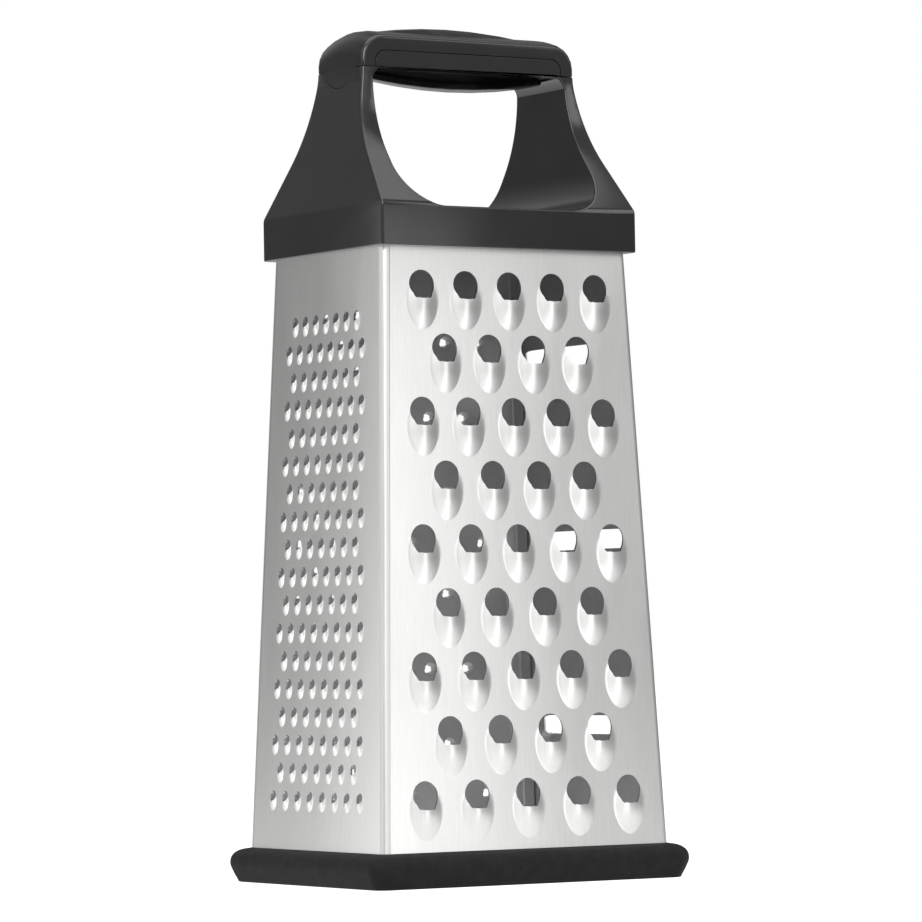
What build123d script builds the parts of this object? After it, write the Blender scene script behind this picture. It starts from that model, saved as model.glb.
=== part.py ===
import os
from math import atan, cos, degrees, pi, sin, sqrt, tan

from build123d import *

# A four-sided box grater, free standing. The origin is the centre of its foot on the table, +Z is up,
# the coarse side faces -Y, the fine side -X, the rasp side +Y and the slicer side +X.

# Steel sleeve: four stainless sheets that lean inwards alike and meet at bent, lapped corners
sheet = 0.5
steel_foot = 2.6
steel_head = 184.8
foot_width = 94.4
foot_depth = 74.8
lean_run = 7.45
bend_radius = 2.0
least_inner_radius = 0.8
seam_inset = 2.2
seam_gap = 0.12
lap_reach = 6.0
lap_overlap = 3.0
lap_clearance = 0.05
lap_foot_gap = 1.3
lap_head_gap = 5.1

# Coarse side: gouged teeth, each a hollow half cone with a round mouth above it
coarse_rows = 9
coarse_most = 5
coarse_foot_margin = 15.5
coarse_head_margin = 10.46
coarse_edge_low = 12.96
coarse_edge_high = 12.0
coarse_shift = 0.5
coarse_mouth_radius = 4.0
coarse_tooth_rise = 4.2
coarse_tooth_reach = 11.4
coarse_tooth_wall = 0.45
coarse_facets = 5

# Fine side: the same teeth at a third of the size, too small to be hollow
fine_rows = 18
fine_most = 8
fine_foot_margin = 14.9
fine_head_margin = 18.47
fine_edge_low = 12.6
fine_edge_high = 11.2
fine_mouth_radius = 1.5
fine_tooth_rise = 1.5
fine_tooth_reach = 4.4
fine_facets = 2
fine_mouth_sides = 4

# How much narrower than its mouth a tooth starts, so that its sides rise out of the rim
tooth_width_share = 0.95

# Rasp side: punched crowns with a torn, sharp rim
rasp_rows = 20
rasp_most = 6
rasp_foot_margin = 13.1
rasp_head_margin = 14.8
rasp_edge_low = 13.4
rasp_edge_high = 12.4
crown_radius = 2.6
crown_height = 2.4
crown_top_radius = 0.5
crown_hole_radius = 1.25
crown_sides = 4

# Slicer side: three wide mouths, each with a raised blade along its lower edge
slicer_slots = 3
slot_foot_margin = 32.9
slot_head_margin = 27.3
slot_edge = 4.4
slot_opening = 5.6
blade_rise = 2.2
blade_reach = 11.0
blade_flare = 3.0
blade_wall = 0.5

# Rubber boot pushed over the lower edge of the sleeve
boot_wall = 5.2
boot_height = 9.7
boot_belly_height = 5.6
boot_corner_radius = 5.2
boot_foot_inset = 1.9
boot_shoulder_inset = 3.8
boot_lip = 2.6
boot_foot_steps = 1
boot_shoulder_steps = 3
boot_corner_steps = 4
fit_clearance = 0.1

# Moulded handle cap: skirt, deck, two posts and the lower half of the bar in one piece
skirt_overlap = 8.5
skirt_side_wall = 1.8
skirt_front_wall = 3.0
shoulder_rise = 3.4
roof_gap = 0.3
deck_wall = 2.5
guide_rib = 1.6
guide_depth = 5.0
hand_inset = 10.3
hand_spread = 1.5
hand_height = 40.4
hand_foot_radius = 12.0
hand_head_radius = 4.0
post_wall = 3.5
post_bend_drop = 1.8
post_bend_radius = 30.0
flank_rise = 25.8
flank_radius = 40.0
shoulder_round = 3.0
corner_chamfer = 0.7
bar_depth = 25.2
bar_thickness = 9.2
bar_crown = 2.1
bar_crown_steps = 3
bar_corner_radius = 7.0
bar_corner_steps = 5
bar_edge_round = 1.1
bar_edge_steps = 2
palm_axis_rise = 4.3
palm_radius = 8.8
palm_bow_radius = 160.0
palm_steps = 8
palm_sides = 16

# Snap-on cover: the top of the bar, with a stepped lower edge and a round tongue on each end
cover_gap = 0.15
cover_end_rise = 0.1
cover_middle_rise = 4.8
cover_step_inset = 4.3
cover_step_radius = 3.2
tongue_width = 17.0
tongue_drop = 5.2
tongue_thickness = 2.0

# How far a cutting tool runs past what it cuts
overrun = 5.0

lean = atan(lean_run / (steel_head - steel_foot))
skirt_low = steel_head - skirt_overlap
shoulder_height = steel_head + shoulder_rise
deck_underside = steel_head + roof_gap
deck_height = deck_underside + deck_wall
guide_low = deck_underside - guide_depth
lap_low = boot_height + lap_foot_gap
lap_high = guide_low - lap_head_gap


def narrowed(full, height):
    """What is left at a height of the sleeve's full width or depth at its foot."""
    return full - 2 * (height - steel_foot) * tan(lean)


skirt_width = narrowed(foot_width, skirt_low) + 2 * skirt_side_wall
skirt_depth = narrowed(foot_depth, skirt_low) + 2 * skirt_front_wall
front_face = Plane(
    origin=(0, -foot_depth / 2, steel_foot), x_dir=(1, 0, 0), z_dir=(0, -cos(lean), sin(lean))
)
right_face = Plane(
    origin=(foot_width / 2, 0, steel_foot), x_dir=(0, 1, 0), z_dir=(cos(lean), 0, sin(lean))
)
back_face = Plane(
    origin=(0, foot_depth / 2, steel_foot), x_dir=(-1, 0, 0), z_dir=(0, cos(lean), sin(lean))
)
left_face = Plane(
    origin=(-foot_width / 2, 0, steel_foot), x_dir=(0, -1, 0), z_dir=(-cos(lean), 0, sin(lean))
)


def steel_body(grow, low, high):
    """The solid that the sleeve's outer face encloses, grown outwards, between two heights."""
    with BuildPart() as body:
        with BuildSketch(Plane.XY.offset(low)):
            Rectangle(narrowed(foot_width, low) + 2 * grow, narrowed(foot_depth, low) + 2 * grow)
        extrude(amount=high - low, taper=degrees(lean))
        corners = body.edges().filter_by(lambda edge: edge.length > (high - low) * cos(lean) / 2)
        upright = corners.filter_by(lambda edge: abs(edge.tangent_at(0).Z) > cos(lean) / 2)
        fillet(upright, radius=max(bend_radius + grow, least_inner_radius))
    return body.part


def steel_layer(outer, inner, low, high):
    """A closed layer of the sleeve, between two offsets from its outer face."""
    with BuildPart() as layer:
        add(steel_body(outer, low, high))
        add(steel_body(inner, low - overrun, high + overrun), mode=Mode.SUBTRACT)
    return layer.part


def panel_blank(face, wrapping):
    """One sheet of the sleeve: its face, the bend at its far corner and the lap behind the neighbour."""
    with BuildPart() as blank:
        add(steel_layer(0, -sheet, steel_foot, steel_head))
        split(bisect_by=face.offset(seam_gap / 2 - seam_inset), keep=Keep.TOP)
        split(bisect_by=wrapping.offset(-seam_gap / 2 - seam_inset), keep=Keep.BOTTOM)
    with BuildPart() as lap:
        add(steel_layer(-sheet - lap_clearance, -2 * sheet - lap_clearance, lap_low, lap_high))
        split(bisect_by=face.offset(-lap_reach), keep=Keep.TOP)
        split(bisect_by=wrapping.offset(-seam_inset - lap_overlap), keep=Keep.TOP)
    with BuildPart() as joggle:
        add(steel_layer(-sheet / 2, -3 * sheet / 2, lap_low, lap_high))
        split(bisect_by=face.offset(-lap_reach), keep=Keep.TOP)
        split(bisect_by=wrapping.offset(-seam_inset - lap_overlap), keep=Keep.TOP)
        split(bisect_by=wrapping.offset(-seam_inset - lap_overlap / 2), keep=Keep.BOTTOM)
    with BuildPart() as panel:
        add(blank.part)
        add(lap.part)
        add(joggle.part)
    return panel.part


def staggered(face, full, rows, most, low, high, edge_low, edge_high, shift):
    """Places for rows of most and one fewer by turns, between two heights and clear of a side's edges."""
    places = []
    for row in range(rows):
        height = low + (high - low) * row / (rows - 1)
        edge = edge_low + (edge_high - edge_low) * row / (rows - 1)
        pitch = (narrowed(full, height) - 2 * edge) / (most - 1)
        count = most - row % 2
        for number in range(count):
            across = shift + (number - (count - 1) / 2) * pitch
            places.append(face.location * Location((across, (height - steel_foot) / cos(lean), 0)))
    return places


def gouge(radius, rise, reach, facets):
    """A raised half cone with its point downwards, in flat facets, standing on the sheet."""
    with BuildPart() as scoop:
        with BuildSketch(Plane.XZ, mode=Mode.PRIVATE) as root:
            with BuildLine():
                Polyline(
                    (radius, -sheet / 2),
                    *[
                        (radius * cos(pi * turn / facets), rise * sin(pi * turn / facets))
                        for turn in range(facets + 1)
                    ],
                    (-radius, -sheet / 2),
                    close=True,
                )
            make_face()
        loft(sections=[root.sketch.face(), Vertex(0, -reach, 0)], ruled=True)
    return scoop.part


def punch(radius, height, sides):
    """The tool that opens a mouth: a prism that passes through the sheet and the tooth's root."""
    with BuildPart() as tool:
        with BuildSketch(Plane.XY.offset(-2 * sheet)):
            RegularPolygon(radius=radius, side_count=sides)
        extrude(amount=2 * sheet + height)
    return tool.part


# Coarse panel: the hollow under each half cone is the same cone, a wall's thickness smaller
coarse_places = staggered(
    front_face, foot_width, coarse_rows, coarse_most, boot_height + coarse_foot_margin,
    skirt_low - coarse_head_margin, coarse_edge_low, coarse_edge_high, coarse_shift
)
coarse_root = coarse_mouth_radius * tooth_width_share
coarse_hollow_share = 1 - coarse_tooth_wall / coarse_root
with BuildPart() as coarse_punch:
    add(punch(coarse_mouth_radius, coarse_tooth_rise, 2 * coarse_facets))
    add(
        gouge(
            coarse_root * coarse_hollow_share,
            coarse_tooth_rise * coarse_hollow_share,
            coarse_tooth_reach * coarse_hollow_share,
            coarse_facets,
        )
    )
    with BuildSketch(Plane.XY.offset(-2 * sheet)):
        with BuildLine():
            Polyline(
                (-coarse_root * coarse_hollow_share, 0),
                (0, -coarse_tooth_reach * coarse_hollow_share),
                (coarse_root * coarse_hollow_share, 0),
                close=True,
            )
        make_face()
    extrude(amount=2 * sheet)
with BuildPart() as coarse_panel:
    add(panel_blank(front_face, left_face))
    with Locations(*coarse_places):
        add(gouge(coarse_root, coarse_tooth_rise, coarse_tooth_reach, coarse_facets))
    with Locations(*coarse_places):
        add(coarse_punch.part, mode=Mode.SUBTRACT)

# Fine panel
fine_places = staggered(
    left_face, foot_depth, fine_rows, fine_most, boot_height + fine_foot_margin,
    skirt_low - fine_head_margin, fine_edge_low, fine_edge_high, 0
)
fine_root = fine_mouth_radius * tooth_width_share
with BuildPart() as fine_panel:
    add(panel_blank(left_face, back_face))
    with Locations(*fine_places):
        add(gouge(fine_root, fine_tooth_rise, fine_tooth_reach, fine_facets))
    with Locations(*fine_places):
        add(punch(fine_mouth_radius, fine_tooth_rise, fine_mouth_sides), mode=Mode.SUBTRACT)

# Rasp panel: the hole is wider than the top of the crown, so the two meet in a sharp rim
rasp_places = staggered(
    back_face, foot_width, rasp_rows, rasp_most, boot_height + rasp_foot_margin,
    skirt_low - rasp_head_margin, rasp_edge_low, rasp_edge_high, 0
)
crown_slope = degrees(atan((crown_radius - crown_top_radius) * cos(pi / crown_sides) / crown_height))
with BuildPart() as crown:
    with BuildSketch(Plane.XY):
        RegularPolygon(radius=crown_radius, side_count=crown_sides)
    extrude(amount=crown_height, taper=crown_slope)
with BuildPart() as rasp_panel:
    add(panel_blank(back_face, right_face))
    with Locations(*rasp_places):
        add(crown.part)
    with Locations(*rasp_places):
        add(punch(crown_hole_radius, crown_height, crown_sides), mode=Mode.SUBTRACT)

# Slicer panel: each blade is a long wedge with sloping ends, hollow behind and open at its upper edge
slot_low = boot_height + slot_foot_margin
slot_high = skirt_low - slot_head_margin
slot_heights = [
    slot_low + (slot_high - slot_low) * slot / (slicer_slots - 1) for slot in range(slicer_slots)
]
slot_places = [
    right_face.location * Location((0, (height - steel_foot) / cos(lean), 0)) for height in slot_heights
]
slot_length = narrowed(foot_depth, slot_high) - 2 * (slot_edge + blade_flare)
with BuildPart() as blade:
    with BuildSketch(Plane.YZ):
        with BuildLine():
            Polyline(
                (-slot_opening / 2, -sheet / 2),
                (-slot_opening / 2, blade_rise),
                (-slot_opening / 2 - blade_reach, 0),
                (-slot_opening / 2 - blade_reach, -sheet / 2),
                close=True,
            )
        make_face()
    extrude(amount=slot_length, both=True)
    with BuildSketch(Plane.XZ):
        with BuildLine():
            Polyline(
                (-slot_length / 2 - blade_flare, -sheet / 2),
                (slot_length / 2 + blade_flare, -sheet / 2),
                (slot_length / 2 + blade_flare, 0),
                (slot_length / 2, blade_rise),
                (-slot_length / 2, blade_rise),
                (-slot_length / 2 - blade_flare, 0),
                close=True,
            )
        make_face()
    extrude(amount=slot_opening + 2 * blade_reach, both=True, mode=Mode.INTERSECT)
with BuildPart() as slot_punch:
    with BuildSketch(Plane.YZ):
        with BuildLine():
            Polyline(
                (slot_opening / 2, -2 * sheet),
                (slot_opening / 2, 2 * blade_rise),
                (-slot_opening / 2, 2 * blade_rise),
                (-slot_opening / 2, blade_rise - blade_wall),
                (-slot_opening / 2 - blade_reach + 2 * blade_wall, -sheet),
                (-slot_opening / 2 - blade_reach + 2 * blade_wall, -2 * sheet),
                close=True,
            )
        make_face()
    extrude(amount=slot_length / 2, both=True)
with BuildPart() as slicer_panel:
    add(panel_blank(right_face, front_face))
    with Locations(*slot_places):
        add(blade.part)
    with Locations(*slot_places):
        add(slot_punch.part, mode=Mode.SUBTRACT)

# Rubber boot: its outside swells from the foot to a belly and rounds over to its top, in slopes
boot_levels = [
    (
        boot_foot_inset * (1 - cos(pi / 2 * step / boot_foot_steps)),
        boot_belly_height * (1 - sin(pi / 2 * step / boot_foot_steps)),
    )
    for step in range(boot_foot_steps, 0, -1)
] + [
    (
        boot_shoulder_inset * (1 - cos(pi / 2 * step / boot_shoulder_steps)),
        boot_belly_height + (boot_height - boot_belly_height) * sin(pi / 2 * step / boot_shoulder_steps),
    )
    for step in range(boot_shoulder_steps + 1)
]
boot_corner_turns = [pi / 2 * step / boot_corner_steps for step in range(boot_corner_steps + 1)]
with BuildPart() as boot:
    for (inset, level), (next_inset, next_level) in zip(boot_levels, boot_levels[1:]):
        outline = []
        for quarter, (side, end) in enumerate(((1, 1), (-1, 1), (-1, -1), (1, -1))):
            for turn in boot_corner_turns:
                along = side * (foot_width / 2 + boot_wall - boot_corner_radius)
                across = end * (foot_depth / 2 + boot_wall - boot_corner_radius)
                turned = turn + quarter * pi / 2
                radius = boot_corner_radius - inset
                outline.append((along + radius * cos(turned), across + radius * sin(turned)))
        with BuildSketch(Plane.XY.offset(level)):
            Polygon(*outline, align=None)
        extrude(
            amount=next_level - level,
            taper=degrees(atan((next_inset - inset) / (next_level - level))),
        )
    add(
        steel_body(-sheet - fit_clearance - boot_lip, -overrun, boot_height + overrun),
        mode=Mode.SUBTRACT,
    )
    add(
        steel_layer(fit_clearance, -sheet - fit_clearance, steel_foot, boot_height + overrun),
        mode=Mode.SUBTRACT,
    )

# The handle's outer form up to the cover: its front and side outlines, crossed, with broken corners
bar_bottom = deck_height + hand_height
bar_top = bar_bottom + bar_thickness
cover_end_height = bar_bottom + cover_end_rise
hand_width = skirt_width - 2 * hand_inset
post_top_width = hand_width + 2 * post_wall
with BuildPart() as handle_form:
    with BuildSketch(Plane.XZ) as front_outline:
        with BuildLine():
            Polyline(
                (-skirt_width / 2, skirt_low),
                (skirt_width / 2, skirt_low),
                (skirt_width / 2, shoulder_height),
                (post_top_width / 2, bar_bottom - post_bend_drop),
                (post_top_width / 2, bar_top),
                (-post_top_width / 2, bar_top),
                (-post_top_width / 2, bar_bottom - post_bend_drop),
                (-skirt_width / 2, shoulder_height),
                close=True,
            )
        make_face()
        fillet(front_outline.vertices().group_by(Axis.Y)[2], radius=post_bend_radius)
        fillet(front_outline.vertices().group_by(Axis.Y)[1], radius=shoulder_round)
    extrude(amount=skirt_depth, both=True)
    with BuildSketch(Plane.YZ) as side_outline:
        with BuildLine():
            Polyline(
                (-skirt_depth / 2, skirt_low),
                (skirt_depth / 2, skirt_low),
                (skirt_depth / 2, shoulder_height),
                (bar_depth / 2, shoulder_height + flank_rise),
                (bar_depth / 2, bar_top),
                (-bar_depth / 2, bar_top),
                (-bar_depth / 2, shoulder_height + flank_rise),
                (-skirt_depth / 2, shoulder_height),
                close=True,
            )
        make_face()
        fillet(side_outline.vertices().group_by(Axis.Y)[2], radius=flank_radius)
        fillet(side_outline.vertices().group_by(Axis.Y)[1], radius=shoulder_round)
    extrude(amount=skirt_width, both=True, mode=Mode.INTERSECT)
    corners = handle_form.edges().filter_by(lambda edge: abs(edge.tangent_at(1 / 2).Z) > 1 / 4)
    chamfer(corners, length=corner_chamfer)
    split(bisect_by=Plane.XY.offset(cover_end_height), keep=Keep.BOTTOM)

# The bar's top: slices of its front outline, each a step lower on the crown towards the front, and
# the last ones drawn in to round its front edge
bar_outline = [(-post_top_width / 2, deck_height), (post_top_width / 2, deck_height)]
for side in (1, -1):
    for step in range(bar_corner_steps + 1):
        turn = pi / 2 * (step if side == 1 else bar_corner_steps - step) / bar_corner_steps
        bar_outline.append(
            (
                side * (post_top_width / 2 - bar_corner_radius * (1 - cos(turn))),
                bar_top - bar_corner_radius * (1 - sin(turn)),
            )
        )
crown_run = bar_depth / 2 - bar_edge_round
crown_radius_across = (crown_run**2 + bar_crown**2) / (2 * bar_crown)
crown_steps = [crown_run * step / bar_crown_steps for step in range(bar_crown_steps + 1)]
crown_drops = [crown_radius_across - sqrt(crown_radius_across**2 - out**2) for out in crown_steps]
edge_steps = [pi / 2 * step / bar_edge_steps for step in range(bar_edge_steps + 1)]
with BuildPart() as bar_half:
    for step in range(bar_crown_steps):
        with BuildSketch(Plane.XZ.offset(crown_steps[step])):
            with Locations((0, bar_crown - crown_drops[step])):
                Polygon(*bar_outline, align=None)
        fall = crown_drops[step + 1] - crown_drops[step]
        run = crown_steps[step + 1] - crown_steps[step]
        extrude(amount=sqrt(run**2 + fall**2), dir=(0, -run, -fall))
    for turn, next_turn in zip(edge_steps, edge_steps[1:]):
        inset = bar_edge_round * (1 - cos(turn))
        run = bar_edge_round * (sin(next_turn) - sin(turn))
        with BuildSketch(Plane.XZ.offset(crown_run + bar_edge_round * sin(turn))):
            Polygon(*bar_outline, align=None)
            offset(amount=-inset, kind=Kind.INTERSECTION)
        extrude(amount=run, taper=degrees(atan(bar_edge_round * (cos(turn) - cos(next_turn)) / run)))
with BuildPart() as bar_top_form:
    add(bar_half.part)
    mirror(about=Plane.XZ)
    split(bisect_by=Plane.XY.offset(cover_end_height), keep=Keep.TOP)

# The swell for the palm: a bow about the bar's axis, in short slices with many sides
palm_axis_height = bar_bottom + palm_axis_rise
palm_end = hand_width / 2 + hand_head_radius / 4
palm_places = [palm_end * (2 * step / palm_steps - 1) for step in range(palm_steps + 1)]
palm_radii = [palm_radius - palm_bow_radius + sqrt(palm_bow_radius**2 - x**2) for x in palm_places]
with BuildPart() as palm_swell:
    for step in range(palm_steps):
        run = palm_places[step + 1] - palm_places[step]
        with BuildSketch(Plane.YZ.offset(palm_places[step])):
            with Locations((0, palm_axis_height)):
                RegularPolygon(radius=palm_radii[step], side_count=palm_sides, major_radius=False)
        extrude(amount=run, taper=degrees(atan((palm_radii[step] - palm_radii[step + 1]) / run)))

# The whole handle before it is parted: the hand hole goes right through from front to back
with BuildPart() as handle_whole:
    add(handle_form.part)
    add(bar_top_form.part)
    with BuildSketch(Plane.XZ) as hand_hole:
        Polygon(
            (-hand_width / 2 - hand_spread, deck_height),
            (hand_width / 2 + hand_spread, deck_height),
            (hand_width / 2, bar_bottom),
            (-hand_width / 2, bar_bottom),
            align=None,
        )
        fillet(hand_hole.vertices().group_by(Axis.Y)[0], radius=hand_foot_radius)
        fillet(hand_hole.vertices().group_by(Axis.Y)[-1], radius=hand_head_radius)
    extrude(amount=skirt_depth, both=True, mode=Mode.SUBTRACT)
    add(palm_swell.part)


def cover_zone(grow):
    """The space that the cover takes out of the handle, grown by a clearance."""
    tongue_radius = (tongue_width**2 / 4 + tongue_drop**2) / (2 * tongue_drop)
    middle = bar_bottom + cover_middle_rise - grow
    step_end = post_top_width / 2 - cover_step_inset - grow
    with BuildPart() as zone:
        with BuildSketch(Plane.XZ) as step:
            with BuildLine():
                Polyline(
                    (-skirt_width, cover_end_height - grow),
                    (-step_end, cover_end_height - grow),
                    (-step_end, middle),
                    (step_end, middle),
                    (step_end, cover_end_height - grow),
                    (skirt_width, cover_end_height - grow),
                    (skirt_width, bar_top + skirt_width),
                    (-skirt_width, bar_top + skirt_width),
                    close=True,
                )
            make_face()
            fillet(step.vertices().group_by(Axis.Y)[1], radius=cover_step_radius)
        extrude(amount=skirt_depth, both=True)
        with BuildSketch(Plane.YZ.offset(post_top_width / 2 - tongue_thickness - grow)):
            with Locations((0, cover_end_height - tongue_drop + tongue_radius)):
                Circle(tongue_radius + grow)
        extrude(amount=skirt_width)
        with BuildSketch(Plane.YZ.offset(-post_top_width / 2 + tongue_thickness + grow)):
            with Locations((0, cover_end_height - tongue_drop + tongue_radius)):
                Circle(tongue_radius + grow)
        extrude(amount=-skirt_width)
    return zone.part


with BuildPart() as handle_cover:
    add(handle_whole.part)
    add(cover_zone(0), mode=Mode.INTERSECT)

# The frame keeps the rest, hollow below the deck, with a rib behind the groove that holds the steel
with BuildPart() as handle_frame:
    add(handle_whole.part)
    add(cover_zone(cover_gap), mode=Mode.SUBTRACT)
    add(
        steel_body(-sheet - fit_clearance - guide_rib, skirt_low - overrun, deck_underside),
        mode=Mode.SUBTRACT,
    )
    add(
        steel_body(fit_clearance, skirt_low - overrun, guide_low),
        mode=Mode.SUBTRACT,
    )
    add(
        steel_layer(
            fit_clearance, -sheet - fit_clearance, skirt_low - overrun, steel_head + fit_clearance
        ),
        mode=Mode.SUBTRACT,
    )

os.makedirs("parts", exist_ok=True)
coarse_panel.part.label = "coarse_panel"
export_step(coarse_panel.part, "parts/coarse_panel.step")
fine_panel.part.label = "fine_panel"
export_step(fine_panel.part, "parts/fine_panel.step")
rasp_panel.part.label = "rasp_panel"
export_step(rasp_panel.part, "parts/rasp_panel.step")
slicer_panel.part.label = "slicer_panel"
export_step(slicer_panel.part, "parts/slicer_panel.step")
boot.part.label = "rubber_boot"
export_step(boot.part, "parts/rubber_boot.step")
handle_frame.part.label = "handle_frame"
export_step(handle_frame.part, "parts/handle_frame.step")
handle_cover.part.label = "handle_cover"
export_step(handle_cover.part, "parts/handle_cover.step")
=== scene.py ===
from math import acos, atan, atan2, cos, pi, radians, sin, tan

import bmesh
import bpy
from mathutils import Matrix, Vector, noise


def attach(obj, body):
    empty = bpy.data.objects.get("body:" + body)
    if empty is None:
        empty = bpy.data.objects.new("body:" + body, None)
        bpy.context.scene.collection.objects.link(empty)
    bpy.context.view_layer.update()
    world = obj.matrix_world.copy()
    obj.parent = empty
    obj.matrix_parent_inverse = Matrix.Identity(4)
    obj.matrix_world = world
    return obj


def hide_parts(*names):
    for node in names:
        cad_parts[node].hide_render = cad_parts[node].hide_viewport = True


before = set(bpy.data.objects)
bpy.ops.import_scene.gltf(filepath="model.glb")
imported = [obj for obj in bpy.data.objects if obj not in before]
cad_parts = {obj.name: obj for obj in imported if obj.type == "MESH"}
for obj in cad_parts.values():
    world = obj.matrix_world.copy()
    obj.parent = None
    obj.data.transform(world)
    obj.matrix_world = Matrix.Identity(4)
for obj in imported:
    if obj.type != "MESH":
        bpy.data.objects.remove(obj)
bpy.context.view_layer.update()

# Coarse panel. A sheet of stainless steel, half a millimetre thick, pierced with round holes, the steel
# below each one pressed out into a hollow tooth with a sharp lip. One long edge is bent round the corner
# onto the next side, the other is set back behind its neighbour and spot welded.
mm = 0.001
sheet = 0.5 * mm
steel_foot = 2.6 * mm
steel_head = 184.8 * mm
foot_width = 94.4 * mm
foot_depth = 74.8 * mm
leans_in = 7.45 * mm
lean = atan(leans_in / (steel_head - steel_foot))
bend_radius = 2.0 * mm
bend_steps = 8
seam_inset = 2.2 * mm
seam_gap = 0.12 * mm
lap_low = 11.0 * mm
lap_high = 175.0 * mm
lap_start = 5.2 * mm
lap_run = 1.5 * mm
lap_depth = 0.8 * mm
lap_reach = 6.0 * mm
steel_sharp = radians(35)

# The shape that coarse and fine teeth share, in radii of the mouth: half the tooth's width, half the width
# of the patch of steel round it, and how far its highest place lies below the mouth's middle.
tooth_flare = 1.25
tooth_margin = 1.48
tooth_crest = 1.15
tooth_fullness = 1.4
notch_turn = radians(33)
notch_half = radians(15)
notch_fade = 4


def linear(hex_colour):
    """An sRGB colour written as six hex digits, as the linear colour that a shader takes."""
    shares = [int(hex_colour[at:at + 2], 16) / 255 for at in (0, 2, 4)]
    return tuple(v / 12.92 if v <= 0.04045 else ((v + 0.055) / 1.055) ** 2.4 for v in shares) + (1.0,)


def add_node(tree, kind, settings=None, links=None):
    """Adds a node, sets its properties and input values, and links its inputs to other nodes' outputs."""
    node = tree.nodes.new(kind)
    for name, value in (settings or {}).items():
        if isinstance(name, int) or name in node.inputs:
            node.inputs[name].default_value = value
        else:
            setattr(node, name, value)
    for name, source in (links or {}).items():
        tree.links.new(source, node.inputs[name])
    return node


def new_material(name):
    """A material with nothing in it yet."""
    made = bpy.data.materials.new(name)
    made.use_nodes = True
    made.node_tree.nodes.clear()
    return made


# Bright rolled stainless steel: a metal with a soft, slightly uneven sheen, and rolling marks that run
# up the sheet. The marks are about 0.4 mm apart, coarser than the real ones, so that they show. Each is
# about 40 mm long, and the sheen wavers over about 11 mm across and 40 mm along.
marks_per_metre = 2500
clouds_per_metre = 90
lengths_per_metre = 25
rolled_steel = new_material("rolled_stainless_steel")
tree = rolled_steel.node_tree
place = add_node(tree, "ShaderNodeTexCoord")
marks_place = add_node(
    tree, "ShaderNodeMapping", {"Scale": (marks_per_metre, marks_per_metre, lengths_per_metre)},
    {"Vector": place.outputs["Object"]},
)
marks = add_node(
    tree, "ShaderNodeTexNoise", {"Scale": 1.0, "Detail": 3.0}, {"Vector": marks_place.outputs[0]}
)
cloud_place = add_node(
    tree, "ShaderNodeMapping", {"Scale": (clouds_per_metre, clouds_per_metre, lengths_per_metre)},
    {"Vector": place.outputs["Object"]},
)
cloud = add_node(
    tree, "ShaderNodeTexNoise", {"Scale": 1.0, "Detail": 2.0}, {"Vector": cloud_place.outputs[0]}
)
sheen = add_node(
    tree, "ShaderNodeMapRange", {"To Min": 0.26, "To Max": 0.34}, {"Value": cloud.outputs["Fac"]}
)
tone = add_node(
    tree, "ShaderNodeMix",
    {"data_type": "RGBA", 6: linear("B8B8B7"), 7: linear("C6C6C5")},
    {0: marks.outputs["Fac"]},
)
relief = add_node(
    tree, "ShaderNodeBump", {"Strength": 0.06, "Distance": 0.02 * mm}, {"Height": marks.outputs["Fac"]}
)
shader = add_node(
    tree, "ShaderNodeBsdfPrincipled",
    {"Metallic": 1.0},
    {"Base Color": tone.outputs[2], "Roughness": sheen.outputs[0], "Normal": relief.outputs[0]},
)
add_node(tree, "ShaderNodeOutputMaterial", links={"Surface": shader.outputs[0]})

# The inner side of the sheet is left as it came from the mill: duller and rougher, so that it spreads what
# little light comes in, with a faint mottle about 3 mm across.
mottles_per_metre = 300.0
inner_steel_painted_lighter = new_material("mill_finish_steel_painted_lighter")
tree = inner_steel_painted_lighter.node_tree
place = add_node(tree, "ShaderNodeTexCoord")
grain = add_node(
    tree, "ShaderNodeTexNoise", {"Scale": mottles_per_metre, "Detail": 2.0},
    {"Vector": place.outputs["Object"]},
)
# Both greys are painted a little lighter than the outer steel's. This is painted light that lifts the shade
# inside the sleeve.
tone = add_node(
    tree, "ShaderNodeMix",
    {"data_type": "RGBA", 6: linear("BEBEBE"), 7: linear("CCCCCC")},
    {0: grain.outputs["Fac"]},
)
shader = add_node(
    tree, "ShaderNodeBsdfPrincipled", {"Metallic": 1.0, "Roughness": 0.58}, {"Base Color": tone.outputs[2]}
)
add_node(tree, "ShaderNodeOutputMaterial", links={"Surface": shader.outputs[0]})


def up_slope(height):
    """How far up the slope of a side a height lies."""
    return (height - steel_foot) / cos(lean)


def half_at(full, up):
    """Half the width of a side, so far up its slope from the foot."""
    return full / 2 - up * sin(lean)


def stood_up(turn, depth):
    """Stands a sheet that is drawn flat on its side of the sleeve."""
    return (
        Matrix.Rotation(turn, 4, "Z")
        @ Matrix.Translation((0, -depth / 2, steel_foot))
        @ Matrix.Rotation(pi / 2 - lean, 4, "X")
    )


def staggered(rows, most, lowest, rise, pitch_low, pitch_high, shift):
    """Places on a flat side, in rows of most and one fewer by turns, which close up as it narrows."""
    places = []
    for row in range(rows):
        pitch = pitch_low + (pitch_high - pitch_low) * row / (rows - 1)
        count = most - row % 2
        up = up_slope(lowest + rise * row)
        places += [(shift + (number - (count - 1) / 2) * pitch, up) for number in range(count)]
    return places


def grown_parts(drawn, edges):
    """Draws edges out into a strip of faces, still where they were, and gives its new edges and corners."""
    grown = bmesh.ops.extrude_edge_only(drawn, edges=edges)["geom"]
    corners = [part for part in grown if isinstance(part, bmesh.types.BMVert)]
    ends = set(corners)
    edges = [part for part in grown if isinstance(part, bmesh.types.BMEdge) and set(part.verts) <= ends]
    return edges, corners


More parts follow.
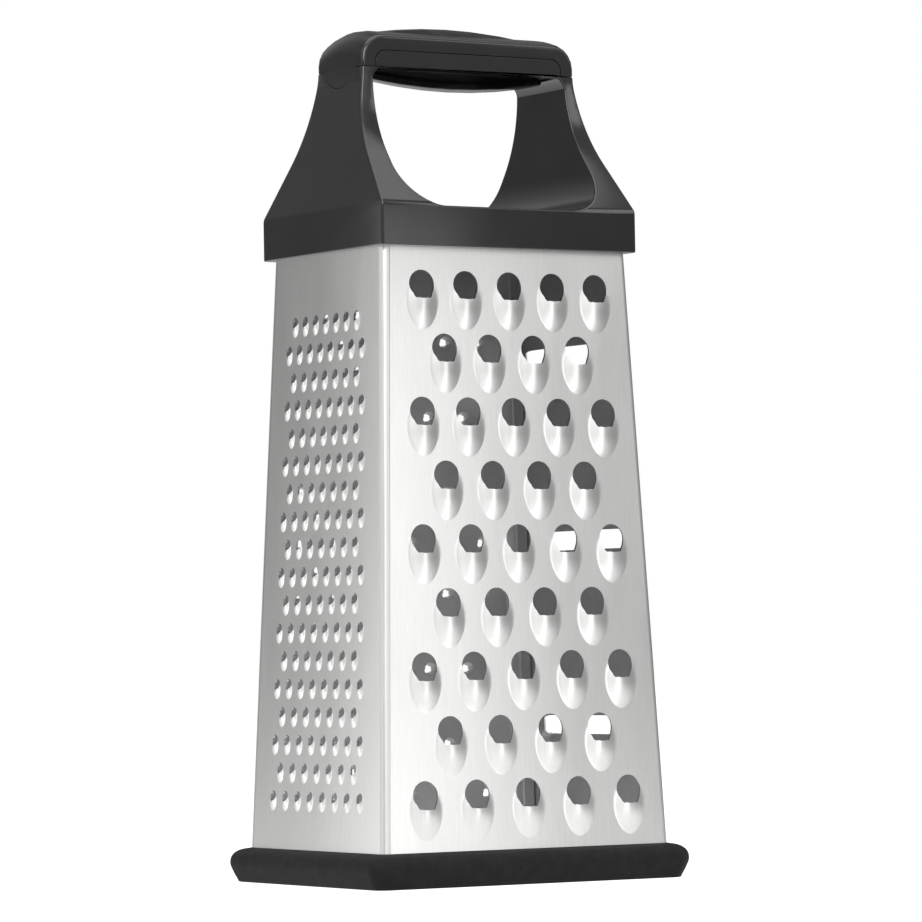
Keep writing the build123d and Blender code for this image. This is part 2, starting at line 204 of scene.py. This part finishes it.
def ring_patch(segments, shares, mouth, place_of):
    """A mouth's rim drawn out into rings of faces, each corner placed by its turn and share of the way."""
    drawn = bmesh.new()
    bmesh.ops.create_circle(drawn, segments=segments, radius=mouth)
    rings = [drawn.verts[:]]
    edges = drawn.edges[:]
    for _ in shares[1:]:
        edges, corners = grown_parts(drawn, edges)
        rings.append(corners)
    for edge in edges:
        edge.seam = True
    for share, ring in zip(shares, rings):
        for vertex in ring:
            vertex.co = place_of(atan2(vertex.co.x, vertex.co.y), share)
    patch = bpy.data.meshes.new("patch")
    drawn.to_mesh(patch)
    drawn.free()
    return patch


def tooth_place(mouth, lip, reach, notch):
    """Where a tooth's surface lies: level above the mouth, and below it a swelling with a cut upper end."""
    crest = mouth * tooth_crest

    def place_of(turn, share):
        aside = abs(abs(turn) - pi + notch_turn) / notch_half
        cut_free = notch * max(0.0, 1 - aside) * max(0.0, 1 - share * notch_fade)
        inner = Vector((sin(turn), cos(turn), 0)) * (mouth + cut_free)
        outer = Vector((sin(turn), cos(turn), 0)) * mouth * tooth_margin
        if cos(turn) < 0:
            outer.y = reach * cos(turn)
        place = inner.lerp(outer, share)
        beside = place.x / (mouth * tooth_flare)
        below = (-place.y - crest) / (reach - crest)
        swell = 1 - beside * beside - below * below
        if share < 1 and swell > 0:
            place.z = lip * swell ** tooth_fullness
        return place

    return place_of


def finished(drawn, name, node, finishes, sharp):
    """Makes a drawn shape a piece: smooth but for its sharp edges, and standing for a node of the model."""
    for face in drawn.faces:
        face.smooth = True
    for edge in drawn.edges:
        edge.smooth = edge.calc_face_angle(0) < sharp
    mesh = bpy.data.meshes.new(name)
    drawn.to_mesh(mesh)
    drawn.free()
    piece = bpy.data.objects.new(name, mesh)
    bpy.context.scene.collection.objects.link(piece)
    for finish in finishes:
        mesh.materials.append(finish)
    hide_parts(node)
    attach(piece, "root")
    weighted = piece.modifiers.new("flat_faces_first", "WEIGHTED_NORMAL")
    weighted.keep_sharp = True


def bent_round(drawn, parts, centre, axis, angle):
    """Bends an edge of the sheet round a corner, and gives the edge where the bend ends."""
    bent = bmesh.ops.spin(
        drawn, geom=parts, cent=centre, axis=axis, angle=angle, steps=bend_steps
    )["geom_last"]
    return [part for part in bent if isinstance(part, bmesh.types.BMEdge)]


def punched_sheet(name, node, turn, width, depth, patch, places):
    """A side of the sleeve: its patches, the flat steel between them, its bend and its lap, made solid."""
    drawn = bmesh.new()
    for across, up in places:
        old = len(drawn.verts)
        drawn.from_mesh(patch)
        drawn.verts.ensure_lookup_table()
        bmesh.ops.translate(drawn, verts=drawn.verts[old:], vec=(across, up, 0))
    top = up_slope(steel_head)
    corners = [
        drawn.verts.new((half_at(width, 0) - bend_radius, 0, 0)),
        drawn.verts.new((half_at(width, top) - bend_radius, top, 0)),
        drawn.verts.new((-half_at(width, top) + seam_inset + seam_gap / 2, top, 0)),
        drawn.verts.new((-half_at(width, 0) + seam_inset + seam_gap / 2, 0, 0)),
    ]
    sides = [drawn.edges.new((corners[at], corners[(at + 1) % 4])) for at in range(4)]
    outlines = [edge for edge in drawn.edges if edge.seam] + sides
    bmesh.ops.triangle_fill(drawn, use_beauty=True, edges=outlines, normal=(0, 0, 1))
    bmesh.ops.recalc_face_normals(drawn, faces=drawn.faces)
    if sum(face.normal.z * face.calc_area() for face in drawn.faces) < 0:
        bmesh.ops.reverse_faces(drawn, faces=drawn.faces)

    # The bend, and the short strip of it that lies on the next side
    slope = (corners[1].co - corners[0].co).normalized()
    square = acos(sin(lean) ** 2)
    centre = corners[0].co - Vector((0, 0, bend_radius))
    edges = bent_round(drawn, corners[:2] + sides[:1], centre, slope, square)
    edges, strip = grown_parts(drawn, edges)
    bmesh.ops.translate(drawn, verts=strip, vec=(0, 0, -(seam_inset - seam_gap / 2 - bend_radius)))

    # The lap: a strip that starts behind this side, steps back and turns the corner behind the next one
    lap = [
        drawn.verts.new((-half_at(width, up) + lap_start, up, 0))
        for up in (up_slope(lap_low), up_slope(lap_high))
    ]
    edges = [drawn.edges.new(lap)]
    slope = (lap[1].co - lap[0].co).normalized()
    for vec in ((-lap_run, 0, -lap_depth + sheet / 2), (bend_radius - lap_start + lap_run, 0, 0)):
        edges, lap = grown_parts(drawn, edges)
        bmesh.ops.translate(drawn, verts=lap, vec=vec)
    lower = min(lap, key=lambda vertex: vertex.co.y)
    centre = lower.co + Vector((0, 0, lap_depth - bend_radius))
    edges = bent_round(drawn, lap + edges, centre, slope, -square)
    edges, strip = grown_parts(drawn, edges)
    bmesh.ops.translate(drawn, verts=strip, vec=(0, 0, bend_radius - lap_reach))

    bmesh.ops.recalc_face_normals(drawn, faces=drawn.faces)
    for face in drawn.faces:
        if face.normal.z < -0.5:
            face.normal_flip()
    inner = bmesh.ops.solidify(drawn, geom=drawn.faces[:], thickness=sheet)["geom"]
    for part in inner:
        if isinstance(part, bmesh.types.BMFace):
            part.material_index = 1
    bmesh.ops.transform(drawn, matrix=stood_up(turn, depth), verts=drawn.verts)
    finished(drawn, name, node, [rolled_steel, inner_steel_painted_lighter], steel_sharp)


coarse_mouth = 4.0 * mm
coarse_tooth = tooth_place(mouth=coarse_mouth, lip=1.25 * mm, reach=12.4 * mm, notch=0.6 * mm)
coarse_rings = (0, 0.05, 0.12, 0.22, 0.34, 0.47, 0.6, 0.73, 0.86, 1, 1.04)
coarse_patch = ring_patch(36, coarse_rings, coarse_mouth, coarse_tooth)
coarse_places = staggered(
    rows=9, most=5, lowest=25.2 * mm, rise=17.58 * mm,
    pitch_low=16.66 * mm, pitch_high=14.26 * mm, shift=0.5 * mm,
)
punched_sheet("coarse_sheet", "coarse_panel", 0, foot_width, foot_depth, coarse_patch, coarse_places)

# Fine panel. The same sheet and the same teeth at a third of the size, punched close together: 135 small
# round mouths, each with a low pressed lip. It is bent round the back corner and welded like the others.
fine_mouth = 1.45 * mm
fine_tooth = tooth_place(mouth=fine_mouth, lip=0.55 * mm, reach=4.2 * mm, notch=0)
fine_patch = ring_patch(18, (0, 0.15, 0.4, 0.7, 1, 1.05), fine_mouth, fine_tooth)
fine_places = staggered(
    rows=18, most=8, lowest=24.6 * mm, rise=7.837 * mm,
    pitch_low=6.83 * mm, pitch_high=5.67 * mm, shift=0,
)
punched_sheet("fine_sheet", "fine_panel", -pi / 2, foot_depth, foot_width, fine_patch, fine_places)

# Rasp panel. The back sheet, pierced from inside by a pointed punch, so that each hole stands in a small
# cone with a ragged, torn rim. These rims rub food to a fine pulp.
crown_radius = 2.25 * mm
crown_rim = 2.6 * mm
crown_hole = 1.55 * mm
crown_height = 1.15 * mm
crown_tear = 0.2


def crown_place(turn, share):
    """Where a burst crown's surface lies: a straight cone round a torn hole, and a flat ring round that."""
    if share == 1:
        return Vector((crown_rim * sin(turn), crown_rim * cos(turn), 0))
    torn = 0.5 * sin(3 * turn + 1) + 0.5 * sin(7 * turn + 2)
    radius = crown_hole * (1 + crown_tear * torn)
    spread = radius + (crown_radius - radius) * share
    height = crown_height * (1 - share) * (1 - crown_tear * sin(5 * turn))
    return Vector((spread * sin(turn), spread * cos(turn), height))


rasp_patch = ring_patch(24, (0, 0.33, 0.66, 0.999, 1), crown_hole, crown_place)
rasp_places = staggered(
    rows=20, most=6, lowest=22.8 * mm, rise=7.3 * mm,
    pitch_low=13.2 * mm, pitch_high=11.3 * mm, shift=0,
)
punched_sheet("rasp_sheet", "rasp_panel", pi, foot_width, foot_depth, rasp_patch, rasp_places)

# Slicer panel. The sheet on the right, with three long mouths. The steel below each mouth is pressed out
# into a flat blade, hollow behind, whose upper edge is ground sharp.
slot_heights = (42.6 * mm, 95.8 * mm, 149.0 * mm)
slot_length = 48.0 * mm
slot_opening = 5.6 * mm
slot_squareness = 10
slot_rim = 0.7 * mm
blade_rise = 2.2 * mm
blade_reach = 11.0 * mm
blade_flare = 3.0 * mm
blade_step = 1.2 * mm


def slicer_place(turn, share):
    """Where a slicer's surface lies: a long mouth with round corners, over a blade with sloping ends."""
    square = (abs(sin(turn)) ** slot_squareness + abs(cos(turn)) ** slot_squareness) ** (-1 / slot_squareness)
    across, up = square * sin(turn), square * cos(turn)
    half_blade = slot_length / 2 + blade_flare
    inner = Vector((slot_length / 2 * across, slot_opening / 2 * up, 0))
    outer = Vector(((half_blade + slot_rim) * across, (slot_opening / 2 + slot_rim) * up, 0))
    if up < 0:
        outer.y = (slot_opening / 2 + blade_reach) * up
    place = inner.lerp(outer, share)
    below = -place.y - slot_opening / 2
    end = min(1.0, max(0.0, (half_blade - abs(place.x)) / blade_flare))
    fall = min(1.0, max(0.0, below / blade_reach)) if below > 0 else min(1.0, -below / blade_step)
    if share < 1:
        place.z = blade_rise * end * (1 - fall)
    return place


slicer_rings = (0, 0.05, 0.15, 0.3, 0.5, 0.7, 0.85, 0.95, 1)
slicer_patch = ring_patch(64, slicer_rings, slot_opening / 2, slicer_place)
slicer_places = [(0, up_slope(height)) for height in slot_heights]
punched_sheet("slicer_sheet", "slicer_panel", pi / 2, foot_depth, foot_width, slicer_patch, slicer_places)

# Rubber boot. A thick band of moulded black rubber with a groove in it, pushed over the lower edge of
# the four sheets, so that the grater stands firm and does not scratch the table.
boot_wall = 5.2 * mm
boot_height = 9.7 * mm
belly_height = 5.6 * mm
foot_inset = 1.9 * mm
boot_lip = 2.6 * mm
boot_grip = 0.04 * mm
boot_corner_radius = 5.2 * mm
inner_corner_radius = 0.8 * mm
corner_steps = 8
side_cuts = 11
shoulder_start = -0.2 * mm
shoulder_fullness = 0.85
shoulder_steps = 8
groove_ease = 0.3 * mm
sunk_most = 0.5 * mm
sunk_inwards = 0.3
hollows_per_metre = 45

# Moulded rubber: a very dark grey that scatters light, with a fine grain and pale dusty patches about
# 4 mm across. The grain of 0.2 mm is drawn at 0.6 mm so that it shows.
grains_per_metre = 1700.0
patches_per_metre = 260.0
rubber = new_material("moulded_rubber")
tree = rubber.node_tree
place = add_node(tree, "ShaderNodeTexCoord")
grain = add_node(
    tree, "ShaderNodeTexNoise", {"Scale": grains_per_metre, "Detail": 3.0},
    {"Vector": place.outputs["Object"]},
)
patches = add_node(
    tree, "ShaderNodeTexNoise", {"Scale": patches_per_metre, "Detail": 4.0, "Roughness": 0.65},
    {"Vector": place.outputs["Object"]},
)
dust = add_node(
    tree, "ShaderNodeMapRange", {"From Min": 0.42, "From Max": 0.66}, {"Value": patches.outputs["Fac"]}
)
tone = add_node(
    tree, "ShaderNodeMix",
    {"data_type": "RGBA", 6: linear("060606"), 7: linear("131313")},
    {0: dust.outputs[0]},
)
relief = add_node(
    tree, "ShaderNodeBump", {"Strength": 0.5, "Distance": 0.06 * mm}, {"Height": grain.outputs["Fac"]}
)
shader = add_node(
    tree, "ShaderNodeBsdfPrincipled",
    {"Roughness": 0.72, "IOR": 1.5, "Specular IOR Level": 0.2},
    {"Base Color": tone.outputs[2], "Normal": relief.outputs[0]},
)
add_node(tree, "ShaderNodeOutputMaterial", links={"Surface": shader.outputs[0]})

# The band's outline, as distances outwards from the steel's foot and heights: over the shoulder, down the
# outside, under, up the inside, and round the groove that takes the steel.
shoulder_turns = [pi / 2 * step / shoulder_steps for step in range(shoulder_steps + 1)]
boot_profile = [
    (shoulder_start + (boot_wall - shoulder_start) * sin(turn) ** shoulder_fullness,
     belly_height + (boot_height - belly_height) * cos(turn) ** shoulder_fullness)
    for turn in shoulder_turns
]
lip_leans_in = (boot_height - steel_foot) * tan(lean)
boot_profile += [
    (boot_wall - 0.15 * mm, belly_height - 0.9 * mm),
    (boot_wall - foot_inset * 0.55, 2.4 * mm),
    (boot_wall - foot_inset, 0.7 * mm),
    (boot_wall - foot_inset - 0.25 * mm, 0.15 * mm),
    (boot_wall - foot_inset - 0.8 * mm, 0),
    (0.6 * mm - boot_lip, 0),
    (0.1 * mm - boot_lip - sheet, 0.4 * mm),
    (-boot_lip - sheet, 1.0 * mm),
    (-boot_lip - sheet - lip_leans_in, boot_height - 0.8 * mm),
    (0.5 * mm - boot_lip - sheet - lip_leans_in, boot_height),
    (-sheet - 0.5 * mm - lip_leans_in, boot_height),
    (-sheet - boot_grip - lip_leans_in, boot_height - groove_ease),
    (-sheet - boot_grip, steel_foot - boot_grip),
    (boot_grip, steel_foot - boot_grip),
    (boot_grip - lip_leans_in, boot_height - groove_ease),
]

# A square with round corners, drawn out into one hoop for each place on the outline. The outside sinks
# a little here and there, as a soft moulding does.
drawn = bmesh.new()
bmesh.ops.create_grid(drawn, x_segments=1, y_segments=1, size=1.0)
bmesh.ops.delete(drawn, geom=drawn.faces[:], context="FACES_ONLY")
bmesh.ops.bevel(
    drawn, geom=drawn.verts[:], offset=0.5, segments=corner_steps, profile=0.5, affect="VERTICES", material=-1
)
long_sides = [edge for edge in drawn.edges if edge.calc_length() > 0.5]
bmesh.ops.subdivide_edges(drawn, edges=long_sides, cuts=side_cuts)
hoops = [drawn.verts[:]]
first_edges = edges = drawn.edges[:]
for _ in boot_profile[1:]:
    edges, hoop = grown_parts(drawn, edges)
    hoops.append(hoop)
bmesh.ops.bridge_loops(drawn, edges=first_edges + edges)
for (outward, height), hoop in zip(boot_profile, hoops):
    radius = max(inner_corner_radius, bend_radius + outward)
    if outward > 0:
        radius = bend_radius + (boot_corner_radius - bend_radius) * outward / boot_wall
    for vertex in hoop:
        mark = vertex.co.copy()
        inside = Vector((max(-0.5, min(0.5, mark.x)), max(-0.5, min(0.5, mark.y)), 0))
        away = (mark - inside) * 2
        vertex.co = (
            (foot_width / 2 + outward - radius) * inside.x * 2 + radius * away.x,
            (foot_depth / 2 + outward - radius) * inside.y * 2 + radius * away.y,
            height,
        )
        if outward > 0 and height > steel_foot:
            sunk = (noise.noise(vertex.co * hollows_per_metre) + 1) / 2 * sunk_most
            vertex.co -= Vector((away.x * sunk * sunk_inwards, away.y * sunk * sunk_inwards, sunk))
bmesh.ops.recalc_face_normals(drawn, faces=drawn.faces)
finished(drawn, "boot", "rubber_boot", [rubber], radians(60))

# Handle frame. One moulding of glossy black plastic: a skirt that grips the upper edge of the steel, a
# deck, two posts that sweep up and in, and the lower half of the bar. Its edges are softly rounded.
hole_round = 0.45 * mm
seam_round = 0.1 * mm
skirt_round = 0.35 * mm
deck_height = 187.6 * mm
bar_bottom = 228.0 * mm
post_inner = 33.2 * mm
tongue_low = 222.5 * mm
skirt_low = 176.3 * mm
beside = 0.1 * mm
level_with = 0.02 * mm
same_place = 0.001 * mm
same_plane = radians(0.3)
plastic_sharp = radians(50)

# Moulded black polypropylene: near black, with an even soft gloss that wavers a little from shrinkage,
# and a fine grain. The grain of 0.1 mm is drawn at 0.4 mm so that it shows, and the gloss wavers over
# about 14 mm.
plastic_grains_per_metre = 2500.0
waves_per_metre = 70.0
plastic = new_material("moulded_black_polypropylene")
tree = plastic.node_tree
place = add_node(tree, "ShaderNodeTexCoord")
grain = add_node(
    tree, "ShaderNodeTexNoise", {"Scale": plastic_grains_per_metre, "Detail": 2.0},
    {"Vector": place.outputs["Object"]},
)
shrinkage = add_node(
    tree, "ShaderNodeTexNoise", {"Scale": waves_per_metre, "Detail": 2.0},
    {"Vector": place.outputs["Object"]},
)
sheen = add_node(
    tree, "ShaderNodeMapRange", {"To Min": 0.12, "To Max": 0.22}, {"Value": shrinkage.outputs["Fac"]}
)
tone = add_node(
    tree, "ShaderNodeMix",
    {"data_type": "RGBA", 6: linear("070707"), 7: linear("0C0C0C")},
    {0: shrinkage.outputs["Fac"]},
)
relief = add_node(
    tree, "ShaderNodeBump", {"Strength": 0.12, "Distance": 0.02 * mm}, {"Height": grain.outputs["Fac"]}
)
shader = add_node(
    tree, "ShaderNodeBsdfPrincipled",
    {"IOR": 1.49},
    {"Base Color": tone.outputs[2], "Roughness": sheen.outputs[0], "Normal": relief.outputs[0]},
)
add_node(tree, "ShaderNodeOutputMaterial", links={"Surface": shader.outputs[0]})


def whole_copy(node):
    """A copy of a solid's surface, its loose triangles joined and its flat faces made whole."""
    drawn = bmesh.new()
    drawn.from_mesh(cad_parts[node].data)
    bmesh.ops.remove_doubles(drawn, verts=drawn.verts, dist=same_place)
    bmesh.ops.dissolve_limit(drawn, angle_limit=same_plane, verts=drawn.verts, edges=drawn.edges)
    return drawn


def outer_edges(drawn, wanted):
    """The sharp outer edges whose middle lies where wanted says."""
    found = []
    for edge in drawn.edges:
        if edge.is_manifold and edge.calc_face_angle_signed() > plastic_sharp:
            if wanted((edge.verts[0].co + edge.verts[1].co) / 2):
                found.append(edge)
    return found


def rounded(drawn, edges, width, segments):
    """Rounds edges over."""
    bmesh.ops.bevel(
        drawn, geom=edges, offset=width, segments=segments, profile=0.5, affect="EDGES", material=-1
    )


def on_seam(middle):
    """Whether a place on the frame lies along the parting line with the cover."""
    if abs(middle.x) > post_inner and middle.z > tongue_low:
        return True
    return middle.z > bar_bottom - beside and abs(middle.z - bar_bottom) > level_with


def on_opening(middle):
    """Whether a place on the frame lies on the deck, the posts or the bar, clear of the parting line."""
    return middle.z > deck_height - beside and not on_seam(middle)


def under_skirt(middle):
    """Whether a place on the frame lies along the skirt's lower edge."""
    return middle.z < skirt_low + beside


drawn = whole_copy("handle_frame")
rounded(drawn, outer_edges(drawn, on_opening), hole_round, 3)
rounded(drawn, outer_edges(drawn, on_seam), seam_round, 1)
rounded(drawn, outer_edges(drawn, under_skirt), skirt_round, 2)
finished(drawn, "handle_body", "handle_frame", [plastic], plastic_sharp)

# Handle cover. The upper half of the bar, moulded apart from the same plastic and snapped on. It is
# crowned for the palm, and reaches down each post in a round tongue.
drawn = whole_copy("handle_cover")
rounded(drawn, outer_edges(drawn, lambda middle: True), seam_round, 1)
finished(drawn, "handle_top", "handle_cover", [plastic], plastic_sharp)

# Stage. A roll of white paper under the grater, which glows a little so that it stays white in the picture
# and gives the steel something pale to mirror, more of it at the left than at the right.
floor_seen = 0.75
floor_mirrored = 0.85
glow_ends_from = 0.1
glow_ends_at = 0.5
floor_drawn = bmesh.new()
bmesh.ops.create_grid(floor_drawn, x_segments=1, y_segments=1, size=6.0)
floor_mesh = bpy.data.meshes.new("floor")
floor_drawn.to_mesh(floor_mesh)
floor_drawn.free()
floor = bpy.data.objects.new("floor", floor_mesh)
bpy.context.scene.collection.objects.link(floor)
paper = new_material("white_studio_paper")
tree = paper.node_tree
path = add_node(tree, "ShaderNodeLightPath")
place = add_node(tree, "ShaderNodeTexCoord")
ways = add_node(tree, "ShaderNodeSeparateXYZ", links={0: place.outputs["Object"]})
spill = add_node(
    tree, "ShaderNodeMapRange",
    {"From Min": glow_ends_from, "From Max": glow_ends_at, "To Min": floor_mirrored, "To Max": 0.0},
    {"Value": ways.outputs["X"]},
)
seen = add_node(
    tree, "ShaderNodeMath", {"operation": "MAXIMUM"},
    {0: path.outputs["Is Camera Ray"], 1: path.outputs["Is Transmission Ray"]},
)
strength = add_node(
    tree, "ShaderNodeMath", {"operation": "MULTIPLY"},
    {0: path.outputs["Is Glossy Ray"], 1: spill.outputs[0]},
)
strength = add_node(tree, "ShaderNodeMix", {3: floor_seen}, {0: seen.outputs[0], 2: strength.outputs[0]})
matt = add_node(tree, "ShaderNodeBsdfDiffuse", {"Color": linear("F4F4F4")})
glow = add_node(
    tree, "ShaderNodeEmission", {"Color": linear("FFFFFF")}, {"Strength": strength.outputs[0]}
)
both = add_node(tree, "ShaderNodeAddShader", links={0: matt.outputs[0], 1: glow.outputs[0]})
add_node(tree, "ShaderNodeOutputMaterial", links={"Surface": both.outputs[0]})
floor_mesh.materials.append(paper)

# Room. What the steel and the plastic mirror: walls whose tone changes with the bearing, brighter higher
# up, and a bright ceiling. Matt surfaces gather one even tone from it, and the camera sees plain white.
# Each wall tone has its share of the way round, from the front by the left, the back and the right.
room_seen = 1.0
room_gathered = 0.45
wall_tones = (
    (0, 1.25), (0.1, 1.25),
    (0.12, 0.19), (0.165, 0.19),
    (0.185, 1.0), (0.3, 1.0),
    (0.4, 0.28), (0.5, 0.4),
    (0.57, 0.15), (0.7, 0.15),
    (0.76, 0.42), (0.8, 0.42),
    (0.9, 0.5), (0.925, 0.66), (0.965, 1.1),
)
world = bpy.data.worlds.new("studio")
bpy.context.scene.world = world
world.use_nodes = True
world.node_tree.nodes.clear()
tree = world.node_tree
path = add_node(tree, "ShaderNodeLightPath")
seen = add_node(
    tree, "ShaderNodeMath", {"operation": "MAXIMUM"},
    {0: path.outputs["Is Camera Ray"], 1: path.outputs["Is Transmission Ray"]},
)
room = add_node(tree, "ShaderNodeTexCoord")
ways = add_node(tree, "ShaderNodeSeparateXYZ", links={0: room.outputs["Generated"]})
bearing = add_node(
    tree, "ShaderNodeMath", {"operation": "ARCTAN2"}, {0: ways.outputs["X"], 1: ways.outputs["Y"]}
)
bearing = add_node(
    tree, "ShaderNodeMapRange", {"From Min": -pi, "From Max": pi}, {"Value": bearing.outputs[0]}
)
walls = add_node(tree, "ShaderNodeValToRGB", links={"Fac": bearing.outputs[0]})
stops = walls.color_ramp.elements
stops.remove(stops[1])
for at, (where, bright) in enumerate(wall_tones):
    stop = stops.new(where) if at else stops[0]
    stop.position = where
    stop.color = (bright, bright, bright, 1)
lift = add_node(
    tree, "ShaderNodeMapRange", {"From Min": -0.05, "From Max": 0.4, "To Min": 0.95, "To Max": 1.55},
    {"Value": ways.outputs["Z"]},
)
mirrored = add_node(
    tree, "ShaderNodeMath", {"operation": "MULTIPLY"}, {0: walls.outputs["Color"], 1: lift.outputs[0]}
)
ceiling = add_node(
    tree, "ShaderNodeMapRange", {"From Min": 0.8, "From Max": 0.86, "To Max": 1.8},
    {"Value": ways.outputs["Z"]},
)
mirrored = add_node(
    tree, "ShaderNodeMath", {"operation": "ADD"}, {0: mirrored.outputs[0], 1: ceiling.outputs[0]}
)
strength = add_node(
    tree, "ShaderNodeMix", {2: room_gathered}, {0: path.outputs["Is Glossy Ray"], 3: mirrored.outputs[0]}
)
strength = add_node(tree, "ShaderNodeMix", {3: room_seen}, {0: seen.outputs[0], 2: strength.outputs[0]})
back = add_node(
    tree, "ShaderNodeBackground", {"Color": (1, 1, 1, 1)}, {"Strength": strength.outputs[0]}
)
add_node(tree, "ShaderNodeOutputWorld", links={"Surface": back.outputs[0]})

# Lamps. Two soft boxes high up in front give the light and the shadow on the paper. Two narrow strips
# stand close to the grater, so that the steel beside its front left corner is the brightest.
grater_middle = (0, 0, 0.1)


def soft_box(name, place, aim, width, height, power):
    """A soft box: an area lamp at a place, turned to face a point."""
    lamp = bpy.data.lights.new(name, "AREA")
    lamp.shape = "RECTANGLE"
    lamp.size = width
    lamp.size_y = height
    lamp.energy = power
    lamp_object = bpy.data.objects.new(name, lamp)
    lamp_object.location = place
    lamp_object.rotation_euler = (Vector(aim) - Vector(place)).to_track_quat("-Z", "Y").to_euler()
    lamp_object.visible_camera = False
    bpy.context.scene.collection.objects.link(lamp_object)


soft_box("left_front_box", (-0.9, -1.0, 0.9), grater_middle, width=0.8, height=0.8, power=14)
soft_box("right_front_box", (0.9, -0.9, 0.8), grater_middle, width=0.6, height=0.6, power=3)
soft_box("front_strip", (0.085, -0.25, 0.08), (-0.047, -0.037, 0.08), width=0.05, height=0.26, power=0.08)
soft_box("left_strip", (-0.119, 0.062, 0.11), (-0.047, -0.035, 0.11), width=0.03, height=0.22, power=0.026)

# Camera. It stands at the photograph's angle, low and to the left of the front, with the lens that fits
# the photograph's perspective.
eye = Vector((-730.1, -1182.3, 66.5)) * mm
yaw, pitch, roll = 0.555, 0.0373, -0.0159
level = Vector((sin(yaw), cos(yaw), 0))
side = Vector((cos(yaw), -sin(yaw), 0))
upright = Vector((0, 0, 1))
ahead = level * cos(pitch) + upright * sin(pitch)
above = upright * cos(pitch) - level * sin(pitch)
camera_x = side * cos(roll) + above * sin(roll)
camera_y = above * cos(roll) - side * sin(roll)
camera_turn = Matrix((camera_x, camera_y, -ahead)).transposed().to_4x4()
camera_data = bpy.data.cameras.new("camera")
camera_data.sensor_width = 36.0
camera_data.lens = 191.35
camera = bpy.data.objects.new("camera", camera_data)
camera.matrix_world = Matrix.Translation(eye) @ camera_turn
bpy.context.scene.collection.objects.link(camera)
bpy.context.scene.camera = camera
bpy.context.scene.view_settings.view_transform = "Standard"
